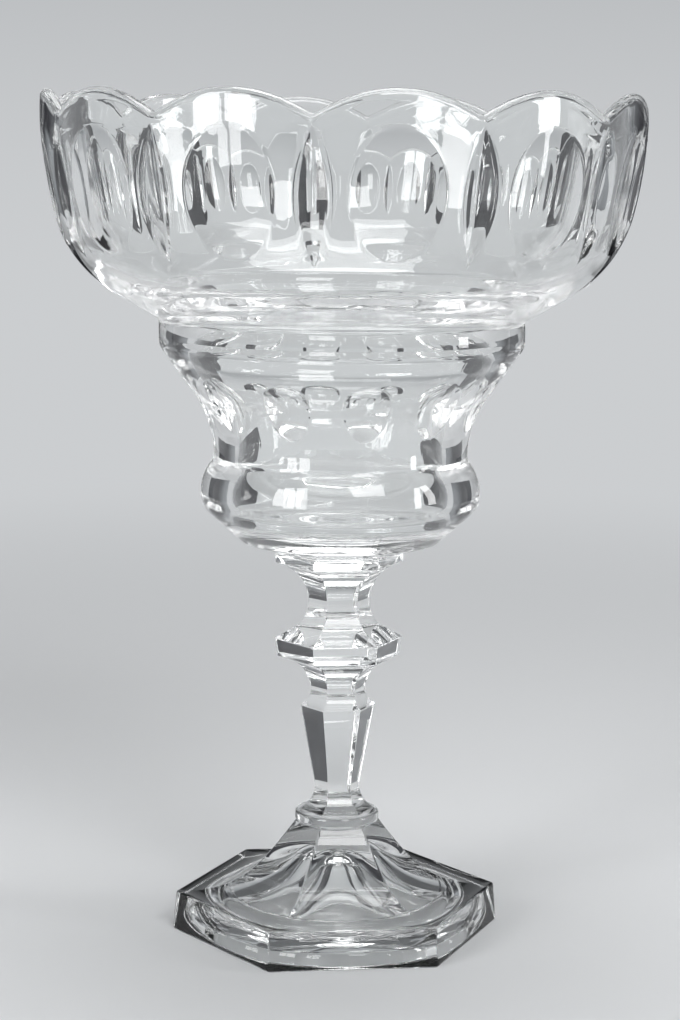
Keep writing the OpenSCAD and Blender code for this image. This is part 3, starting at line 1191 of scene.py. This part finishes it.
    def mitre_depth(self, height: np.ndarray, off: np.ndarray) -> np.ndarray:
        """Depth of a mitre cut: D (1 - s^2) - v / tan(half the angle).

        Here s is the way along the cut, and v the distance from the dip's line, rounded
        in the valley.

        Args:
            height: Heights above the seat.
            off: Distances from the dip's line along the wall.

        Returns:
            Depths, zero outside the cut.
        """
        s = self._along_mitre(height)
        valley = np.sqrt(off ** 2 + self.valley_round ** 2) - self.valley_round
        depth = self.mitre_d * (1 - s ** 2) - valley / math.tan(self.mitre_angle / 2)
        return np.where(np.abs(s) < 1, self._soft(depth), 0)

    def oval_depth(self, height: np.ndarray, off: np.ndarray) -> np.ndarray:
        """Depth of an oval cut: D (1 - s^2 - (off / half width)^2), with s the way along it.

        Args:
            height: Heights above the seat.
            off: Distances from the panel's middle along the wall.

        Returns:
            Depths, zero outside the cut.
        """
        s = self._along_oval(height)
        depth = self.oval_d * (1 - s ** 2 - (2 * off / self.oval_w) ** 2)
        near = (np.abs(s) < self.oval_reach) & (np.abs(off) < self.oval_w)
        return np.where(near, self._soft(depth), 0)

    def thumb_centre(self) -> tuple[float, float]:
        """Find the middle of the ball that makes the thumb cut.

        The ball's middle lies off the flare's lower end, at a right angle to the flare,
        by the ball's radius less the depth of the cut.

        Returns:
            Its radius and its height above the seat.
        """
        way = np.array([self.ledge_r - self.flare_r, self.ledge_low_h - self.flare_h])
        out = np.array([way[1], -way[0]]) / np.hypot(*way) * (self.thumb_r - self.thumb_d)
        return self.flare_r + float(out[0]), self.flare_h + float(out[1])

    def thumbed(self, radius: np.ndarray, height: np.ndarray, local: np.ndarray) -> np.ndarray:
        """Radius of the wall after the thumb cuts.

        A ball of radius b round (c, 0, h) leaves the wall at the smaller root of
        r^2 - 2 r c cos(angle) + c^2 + (z - h)^2 - b^2 = 0.

        Args:
            radius: Radii of the plain wall.
            height: Heights above the seat.
            local: Angles from the panel's middle.

        Returns:
            Radii.
        """
        c, h = self.thumb_centre()
        inside = (c * np.cos(local)) ** 2 - c ** 2 - (height - h) ** 2 + self.thumb_r ** 2
        root = c * np.cos(local) - np.sqrt(np.maximum(inside, 0))
        return np.where(inside > 0, radius - self._soft(radius - root), radius)

    def edges(self, radius: np.ndarray, dip_h: np.ndarray,
              middle_h: np.ndarray) -> tuple[np.ndarray, np.ndarray]:
        """Angles of the two columns that follow the edges of the cuts.

        Args:
            radius: Radius of each row.
            dip_h: Height of each row above the seat, at a dip.
            middle_h: Height of each row above the seat, at a panel's middle.

        Returns:
            Angle from the panel's middle to the edge of its oval or thumb cut, and
            angle from the dip to the edge of the mitre cut.
        """
        lens = np.clip(1 - self._along_mitre(dip_h) ** 2, 0, 1)
        mitre_w = self.mitre_d * lens * math.tan(self.mitre_angle / 2)
        mitre = np.maximum(mitre_w, self.least_mitre_w) / radius
        s = self._along_oval(middle_h)
        oval_w = self.oval_w / 2 * np.sqrt(np.clip(1 - s ** 2, 0, 1))
        oval = np.maximum(oval_w, self.least_oval_w) / radius
        oval = np.where(np.abs(s) < 1, oval, self.plain_oval_w / radius)
        c, h = self.thumb_centre()
        cosine = (radius ** 2 + c ** 2 + (middle_h - h) ** 2 - self.thumb_r ** 2) / (2 * radius * c)
        thumb = np.arccos(np.clip(cosine, -1, 1))
        thumb = np.maximum(thumb, self.least_thumb_w / radius)
        oval = np.where(self._beside_thumb(middle_h), thumb, oval)
        return np.minimum(oval, self.widest_share * math.pi / self.panels), mitre

    def columns(self, oval: np.ndarray, mitre: np.ndarray) -> np.ndarray:
        """Angles of all columns from the edges of the cuts.

        Args:
            oval: Angle from the middle to the oval's edge for each row.
            mitre: Angle from the dip to the mitre's edge for each row.

        Returns:
            Angles from a panel's middle, rows by columns of one panel, rising from
            the dip on one side almost to the dip on the other.
        """
        half_panel = math.pi / self.panels
        oval, mitre = oval[:, None], mitre[:, None]
        gap = half_panel - mitre - oval
        centre = oval * np.array(self.centre_shares)[None]
        between = oval + gap * np.array(self.between_shares)[None]
        outer = half_panel - mitre * (np.array(self.mitre_shares)[None, ::-1])
        right = np.hstack([centre, between, outer[:, :-1]])
        left = -np.hstack([centre[:, 1:], between, outer])[:, ::-1]
        return np.hstack([left, right])

    def all_round(self, local: np.ndarray) -> tuple[np.ndarray, np.ndarray]:
        """Repeat one panel's columns round the bowl.

        Args:
            local: Angles from a panel's middle, rows by columns.

        Returns:
            Angles round the axis and angles from the nearest panel's middle.
        """
        middles = even_angles(self.panels) + self.turn
        angles = (local[:, None, :] + middles[None, :, None]).reshape(len(local), -1)
        return angles, np.tile(local, (1, self.panels))

    def outer_wall(self, line: np.ndarray) -> tuple[np.ndarray, np.ndarray]:
        """Places of the outside, and the columns' angles on its last row.

        Args:
            line: Close points of the outer outline.

        Returns:
            Places of all rows, and angles from the panel's middle on the last row.
        """
        seat, plain = self.seat, self.seat + self.plain_h
        thumbs_low = seat + self.waist_h + self.cut_margin
        thumbs_high = seat + self.ledge_low_h - self.cut_margin
        cuts_low = seat + self.mitre_low - self.row_margin
        outline = self.outer_line()
        sections = [
            outline.rows(self.plain_step, self.plain_turn, high=thumbs_low),
            outline.rows(self.cut_step, self.plain_turn, low=thumbs_low, high=thumbs_high),
            outline.rows(self.belly_step, self.plain_turn, low=thumbs_high, high=cuts_low),
            outline.rows(self.cut_step, self.cut_turn, low=cuts_low, high=plain),
        ]
        rows = np.vstack([sections[0]] + [s[1:] for s in sections[1:]])
        heights = rows[:, 1] - seat
        angles, local = self.all_round(self.columns(*self.edges(rows[:, 0], heights, heights)))
        lower_places = at(self._cut(rows[:, :1], rows[:, 1:], local), rows[:, 1:], angles)

        # Above the plain height the rows spread up to the lip, more at a crest than at a dip
        share = np.linspace(0, 1, self.rim_rows + 1)[1:]
        dip = self.crest_height(np.array([math.pi / self.panels])) - self.rim_wall / 2
        crest = self.crest_height(np.zeros(1)) - self.rim_wall / 2
        dip_h, crest_h = plain + share * (dip - plain), plain + share * (crest - plain)
        wall_r = np.interp(crest_h, line[:, 1], line[:, 0])
        local = self.columns(*self.edges(wall_r, dip_h - seat, crest_h - seat))
        lip_h = self.crest_height(local) - self.rim_wall / 2
        height = plain + share[:, None] * (lip_h - plain)
        angles, local = self.all_round(local)
        height = np.tile(height, (1, self.panels))
        radius = self._cut(np.interp(height, line[:, 1], line[:, 0]), height, local)
        last = local[-1:, :local.shape[1] // self.panels]
        return np.vstack([lower_places, at(radius, height, angles)]), last

    def _cut(self, radius: np.ndarray, height: np.ndarray, local: np.ndarray) -> np.ndarray:
        """Radius after all the cuts.

        Args:
            radius: Radii of the plain wall.
            height: Heights above the ground.
            local: Angles from the nearest panel's middle.

        Returns:
            Radii.
        """
        height = height - self.seat
        off_dip = (math.pi / self.panels - np.abs(local)) * radius
        deep = self.mitre_depth(height, off_dip) + self.oval_depth(height, local * radius)
        return np.where(self._beside_thumb(height), self.thumbed(radius, height, local), radius - deep)

    def lip(self, local: np.ndarray, outer: np.ndarray, inner: np.ndarray) -> np.ndarray:
        """Places of the lip: a half circle from the outer to the inner wall.

        For t from 0 to pi the radius is the walls' mean plus half their difference
        times cos t, and the height is the foot of the lip plus half the wall times sin t.

        Args:
            local: Angles from the panel's middle, one row of one panel.
            outer: Close points of the outer outline.
            inner: Close points of the inner outline, rising.

        Returns:
            Places, rows by columns by three.
        """
        foot = self.crest_height(local) - self.rim_wall / 2
        out_r = np.interp(foot, outer[:, 1], outer[:, 0])
        in_r = np.interp(foot, inner[:, 1], inner[:, 0])
        turn = np.linspace(0, math.pi, self.lip_rows + 1)[1:, None]
        radius = (out_r + in_r) / 2 + (out_r - in_r) / 2 * np.cos(turn)
        height = foot + self.rim_wall / 2 * np.sin(turn)
        angles, _ = self.all_round(np.broadcast_to(local, radius.shape))
        return at(np.tile(radius, (1, self.panels)), np.tile(height, (1, self.panels)), angles)

    def inner_top(self, local: np.ndarray, inner: np.ndarray) -> np.ndarray:
        """Places of the inside from the lip down to the plain height.

        Going down, the columns ease from those of the lip to even ones.

        Args:
            local: Angles from the panel's middle on the lip, one row of one panel.
            inner: Close points of the inner outline, rising.

        Returns:
            Places, rows by columns by three.
        """
        plain = self.seat + self.plain_h
        share = np.linspace(0, 1, self.blend_rows + 1)[1:, None]
        count = local.shape[1]
        even = (np.arange(count) / count * 2 - 1) * math.pi / self.panels
        blended = local * (1 - share) + even[None] * share
        foot = self.crest_height(blended) - self.rim_wall / 2
        height = foot + share * (plain - foot)
        angles, _ = self.all_round(blended)
        height = np.tile(height, (1, self.panels))
        return at(np.interp(height, inner[:, 1], inner[:, 0]), height, angles)

    def build(self, film: BondFilm, glass: bpy.types.Material, wetted: bpy.types.Material,
              worn: bpy.types.Material) -> bpy.types.Object:
        """Make the bowl.

        Args:
            film: The film under its seat.
            glass: Material of the glass.
            wetted: Material of the bonded face.
            worn: Material of the floor inside, which spoons have scuffed.

        Returns:
            The bowl's object.
        """
        outer = self.outer_line().trace()
        outer = outer[outer[:, 1] > self.seat + self.mitre_low]
        inner_line = self.inner_line()
        inner = inner_line.trace()[::-1]
        inner = inner[inner[:, 1] > self.seat + self.mitre_low]
        walls, local = self.outer_wall(outer)
        floor_h = self.seat + self.floor_h
        shell = Shell("bowl_glass", self.seat, floor_h, pole_slots=(Slot.WETTED, Slot.WORN))
        shell.add(film.outline(angles_of(walls[:1]), self.seat))
        shell.add(walls)
        shell.add(self.lip(local, outer, inner))
        shell.add(self.inner_top(local, inner))
        inside_top = self.seat + self.plain_h - self.row_margin
        rows = inner_line.rows(self.plain_step, self.inner_turn, high=inside_top)
        count = self.panels * local.shape[1] // self.coarse
        even = even_angles(count) - math.pi / self.panels + self.turn
        on_floor = rows[:, 1] < floor_h + self.floor_round * self.worn_share
        slots = np.where(on_floor, Slot.WORN.value, Slot.POLISHED.value)
        shell.add(at(rows[:, :1], rows[:, 1:], even[None]), slots)
        made = shell.build([glass, wetted, worn])
        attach(made, "root")
        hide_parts("bowl")
        return made


# Studio

@dataclass(frozen=True)
class Lamp:
    """A soft rectangular lamp that faces the bowl.

    Attributes:
        name: Name of the lamp.
        azimuth: Direction from the axis, in degrees from -Y towards +X.
        distance: Level distance from the axis.
        height: Height of its middle.
        size: Its width and height.
        radiance: Brightness of its face, from which its power is worked out.
    """

    name: str
    azimuth: float
    distance: float
    height: float
    size: tuple[float, float]
    radiance: float

    def build(self) -> bpy.types.Object:
        """Make the lamp, hidden from the camera. Its power is pi * area * radiance.

        Returns:
            The lamp's object.
        """
        light = bpy.data.lights.new(self.name, "AREA")
        light.shape = "RECTANGLE"
        light.size, light.size_y = self.size
        light.energy = math.pi * self.size[0] * self.size[1] * self.radiance
        made = add_object(self.name, light)
        turn = math.radians(self.azimuth)
        made.location = (math.sin(turn) * self.distance, -math.cos(turn) * self.distance, self.height)
        middle = (cad_box[0] + cad_box[1]) / 2
        made.rotation_euler = (middle - made.location).to_track_quat("-Z", "Y").to_euler()
        made.visible_camera = False
        return made


@dataclass(frozen=True)
class PaperFinish:
    """Matt paper of the stage, still without its colour."""

    name: str
    roughness: float
    gloss: float

    def material(self) -> bpy.types.Material:
        """Make the material, with gloss as its specular level."""
        return new_material(self.name, {"Roughness": self.roughness, "Specular IOR Level": self.gloss})


@dataclass
class Studio:
    """Pale floor that sweeps up all round, soft lamps and the camera."""

    floor_radii: tuple[float, ...] = (0.25, 0.5, 1.0, 1.6, 2.2)
    sweep_r: float = 0.8
    sweep_rows: int = 15
    sweep_columns: int = 96
    wall_h: float = 1.2
    floor_colour: tuple[float, float, float] = (0.64, 0.65, 0.66)
    low_colour: tuple[float, float, float] = (0.60, 0.615, 0.63)
    # Painted shade: the glow's colour at the top of the wall, darker than at its foot
    painted_shade_top_colour: tuple[float, float, float] = (0.33, 0.345, 0.36)
    card_colour: tuple[float, float, float] = (0.04, 0.04, 0.045)
    world_colour: tuple[float, float, float] = (0.11, 0.115, 0.12)
    floor_paper: PaperFinish = PaperFinish("studio_paper", roughness=0.9, gloss=0.2)
    card_paper: PaperFinish = PaperFinish("dark_card", roughness=1.0, gloss=0.0)
    near_r: float = 0.3
    far_r: float = 1.1
    card_r: float = 1.0
    card_h: float = 0.8
    card_columns: int = 12
    card_inner: float = 16.0
    card_fade: float = 36.0
    card_outer: float = 54.0
    lamps: tuple[Lamp, ...] = (
        Lamp("lamp_top", azimuth=160.0, distance=0.3, height=1.9, size=(1.1, 1.1), radiance=4.6),
        Lamp("window_left_pane", azimuth=-57.0, distance=1.35, height=0.5, size=(0.26, 0.85), radiance=9.0),
        Lamp("window_right_pane", azimuth=-44.0, distance=1.35, height=0.5, size=(0.26, 0.85), radiance=9.0),
        Lamp("lamp_front", azimuth=18.0, distance=1.3, height=1.1, size=(0.7, 0.7), radiance=8.0),
        Lamp("lamp_right", azimuth=72.0, distance=1.4, height=0.5, size=(0.2, 0.9), radiance=10.0),
    )
    image_h: float = 1020.0
    focal_px: float = 2490.0
    sensor_h: float = 36.0
    eye_away: float = 822.0 * MM
    eye_height: float = 267.7 * MM
    azimuth: float = math.radians(-7.0)
    pitch: float = math.radians(8.6)
    roll: float = math.radians(0.62)
    bounces: int = 32

    @staticmethod
    def _stand(name: str, corners: np.ndarray, faces: list[tuple[int, ...]],
               material: bpy.types.Material, smooth: bool) -> bpy.types.Object:
        """Make a piece of the stage.

        Args:
            name: Its name.
            corners: Its corners.
            faces: Corner numbers of its faces.
            material: Its material.
            smooth: Whether its faces are smooth.

        Returns:
            The new object.
        """
        mesh = bpy.data.meshes.new(name)
        mesh.from_pydata(corners.tolist(), [], faces)
        mesh.polygons.foreach_set("use_smooth", [smooth] * len(mesh.polygons))
        mesh.materials.append(material)
        made = add_object(name, mesh)
        return made

    def floor_material(self) -> bpy.types.Material:
        """Pale matt paper that is lit near the bowl and glows evenly far from it.

        The glow is for what the camera sees, directly or in and through the glass. It
        grows from none at the near radius to all at the far radius, and darkens with
        height as painted shade, darker towards the top of the wall.

        Returns:
            The new material.
        """
        made = self.floor_paper.material()
        tree = made.node_tree
        nodes, links = tree.nodes, tree.links
        shader = nodes["Principled BSDF"]
        set_inputs(shader, {"Base Color": (*self.floor_colour, 1.0)})
        place = nodes.new("ShaderNodeTexCoord").outputs["Object"]
        apart = nodes.new("ShaderNodeSeparateXYZ")
        links.new(place, apart.inputs[0])
        level = nodes.new("ShaderNodeVectorMath")
        level.operation = "MULTIPLY"
        level.inputs[1].default_value = (1.0, 1.0, 0.0)
        links.new(place, level.inputs[0])
        radius = nodes.new("ShaderNodeVectorMath")
        radius.operation = "LENGTH"
        links.new(level.outputs[0], radius.inputs[0])
        far = add_range(tree, radius.outputs["Value"], self.near_r, self.far_r, smooth=True)
        height = add_range(tree, apart.outputs["Z"], 0.0, self.wall_h)
        # Painted shade: the glow ramps from the low colour to the darker top colour with height
        glow = nodes.new("ShaderNodeEmission")
        links.new(add_ramp(tree, height, (self.low_colour, self.painted_shade_top_colour), "EASE"), glow.inputs["Color"])
        path = nodes.new("ShaderNodeLightPath").outputs
        seen = add_math(tree, "ADD", path["Is Camera Ray"], path["Is Glossy Ray"])
        through = add_math(tree, "ADD", seen, path["Is Transmission Ray"], clamp=True)
        mix = nodes.new("ShaderNodeMixShader")
        links.new(add_math(tree, "MULTIPLY", through, far), mix.inputs["Fac"])
        links.new(shader.outputs[0], mix.inputs[1])
        links.new(glow.outputs[0], mix.inputs[2])
        links.new(mix.outputs[0], nodes["Material Output"].inputs["Surface"])
        return made

    def sweep(self) -> bpy.types.Object:
        """Make the floor and the wall that it sweeps into, round on all sides.

        Between floor and wall, for t from 0 to a quarter turn, the radius is
        floor + sweep sin t and the height is sweep (1 - cos t).

        Returns:
            The stage's object.
        """
        ground, floor_r = cad_box[0].z, self.floor_radii[-1]
        turn = np.linspace(0, math.pi / 2, self.sweep_rows + 1)[1:]
        radii = np.r_[self.floor_radii, floor_r + self.sweep_r * np.sin(turn), floor_r + self.sweep_r]
        rise = np.r_[np.zeros(len(self.floor_radii)), self.sweep_r * (1 - np.cos(turn)), self.wall_h]
        points = at(radii[:, None], ground + rise[:, None], even_angles(self.sweep_columns)[None])
        corners = np.vstack([[[0, 0, ground]], points.reshape(-1, 3)])
        number = 1 + np.arange(points[..., 0].size).reshape(points.shape[:2])
        there = np.roll(number, -1, axis=1)
        fan = np.stack([np.zeros(self.sweep_columns, int), number[0], there[0]], axis=1)
        quads = np.stack([number[:-1], number[1:], there[1:], there[:-1]], axis=-1).reshape(-1, 4)
        faces = fan.tolist() + quads.tolist()
        return self._stand("studio_sweep", corners, faces, self.floor_material(), smooth=True)

    def card_material(self) -> bpy.types.Material:
        """Matt paper that is dark beside the picture and pale at the far edge of a card.

        The share of pale grows with the distance to the side of the line from the
        camera to the bowl.

        Returns:
            The new material.
        """
        made = self.card_paper.material()
        tree = made.node_tree
        place = tree.nodes.new("ShaderNodeTexCoord").outputs["Object"]
        aside = tree.nodes.new("ShaderNodeVectorMath")
        aside.operation = "DOT_PRODUCT"
        aside.inputs[1].default_value = (math.cos(self.azimuth), math.sin(self.azimuth), 0.0)
        tree.links.new(place, aside.inputs[0])
        fade, outer = (self.card_r * math.sin(math.radians(a)) for a in (self.card_fade, self.card_outer))
        away = add_math(tree, "ABSOLUTE", aside.outputs["Value"])
        share = add_range(tree, away, fade, outer, smooth=True)
        colour = add_ramp(tree, share, (self.card_colour, self.painted_shade_top_colour))
        tree.links.new(colour, tree.nodes["Principled BSDF"].inputs["Base Color"])
        return made

    def dark_cards(self) -> None:
        """Stand two dark curved cards behind the bowl, beside the picture.

        Glass on a pale ground is drawn by the dark things that its edges bend into
        view. The cards themselves are hidden from the camera.
        """
        paper = self.card_material()
        heights = cad_box[0].z + np.array([[0.0], [self.card_h]])
        number = np.arange(2 * self.card_columns).reshape(2, self.card_columns)
        quads = np.stack([number[0, :-1], number[0, 1:], number[1, 1:], number[1, :-1]], axis=-1).tolist()
        spread = np.radians(np.linspace(self.card_inner, self.card_outer, self.card_columns))
        for name, side in (("dark_card_left", -1), ("dark_card_right", 1)):
            turns = self.azimuth + math.pi - side * spread
            corners = at(self.card_r, heights, turns[None]).reshape(-1, 3)
            made = self._stand(name, corners, quads, paper, smooth=False)
            made.visible_camera = made.visible_shadow = made.visible_diffuse = False

    def world(self) -> None:
        """Plain grey surroundings above the sweep."""
        made = bpy.data.worlds.new("studio_world")
        made.use_nodes = True
        background = made.node_tree.nodes["Background"]
        set_inputs(background, {"Color": (*self.world_colour, 1.0), "Strength": 1.0})
        bpy.context.scene.world = made

    def camera(self) -> bpy.types.Object:
        """Place the camera as the photograph was taken.

        It looks ahead along (-sin(azimuth) cos(pitch), cos(azimuth) cos(pitch),
        -sin(pitch)), and is then rolled.

        Returns:
            The camera's object.
        """
        data = bpy.data.cameras.new("photo_camera")
        data.sensor_fit = "VERTICAL"
        data.sensor_height = self.sensor_h
        data.lens = self.focal_px / self.image_h * self.sensor_h
        made = add_object("photo_camera", data)
        aside, back = math.sin(self.azimuth), math.cos(self.azimuth)
        level, down = math.cos(self.pitch), math.sin(self.pitch)
        ahead = Vector((-aside * level, back * level, -down))
        right = ahead.cross(Vector((0, 0, 1))).normalized()
        up = right.cross(ahead)
        turned_right = right * math.cos(self.roll) + up * math.sin(self.roll)
        turned_up = up * math.cos(self.roll) - right * math.sin(self.roll)
        place = Matrix((turned_right, turned_up, -ahead)).transposed().to_4x4()
        place.translation = (aside * self.eye_away, -back * self.eye_away, self.eye_height)
        made.matrix_world = place
        bpy.context.scene.camera = made
        return made

    def light_paths(self) -> None:
        """Let light turn often enough: thick glass mirrors it inside many times before it leaves."""
        paths = bpy.context.scene.cycles
        paths.max_bounces = paths.transmission_bounces = paths.glossy_bounces = self.bounces
        paths.transparent_max_bounces = self.bounces

    def set_up(self) -> None:
        """Build the whole studio."""
        self.sweep()
        self.dark_cards()
        for lamp in self.lamps:
            lamp.build()
        self.world()
        self.camera()
        self.light_paths()
        bpy.context.scene.view_settings.view_transform = "Standard"
        log.info("studio: %d lamps, camera %.0f mm away", len(self.lamps), self.eye_away / MM)


def main() -> None:
    """Build the pieces in the order in which the real bowl is put together."""
    logging.basicConfig(level=logging.INFO, format="%(name)s: %(message)s")
    Studio().set_up()
    foot_low, foot_high = (corner.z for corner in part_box("foot"))
    stem_low, stem_high = (corner.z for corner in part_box("stem"))
    bowl_low, bowl_high = (corner.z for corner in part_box("bowl"))
    foot_bond, bowl_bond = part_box("foot_bond"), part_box("bowl_bond")
    foot, stem, bowl = Foot(foot_low, foot_high), Stem(stem_low, stem_high), Bowl(bowl_low, bowl_high)
    foot_film = BondFilm.in_box("foot_bond_film", "foot_bond", foot_bond, seed=1.3)
    bowl_film = BondFilm.in_box("bowl_bond_film", "bowl_bond", bowl_bond, seed=0.4)

    bowl_glass = GlassFinish("bowl_glass").material()
    spoon_marks = GlassFinish("bowl_floor", contact_height=bowl.worn_top(), fade=1.5 * MM,
                              scuff=0.06).material()
    stem_glass = GlassFinish("stem_glass", broad_scale=60.0).material()
    foot_glass = GlassFinish("foot_glass", broad_scale=45.0, contact_height=foot.ground).material()
    adhesive = GlassFinish("clear_adhesive", tint=(0.99, 0.99, 0.985), ior=1.49, broad_scale=300.0,
                           wave_height=0.004 * MM).material()
    wetted = WettedFinish("wetted_glass").material()

    foot_film.build(adhesive, wetted)
    bowl_film.build(adhesive, wetted)
    foot.build(foot_film, foot_glass, wetted)
    stem.build(foot_film, bowl_film, stem_glass, wetted)
    bowl.build(bowl_film, bowl_glass, wetted, spoon_marks)


if __name__ == "__main__":
    main()
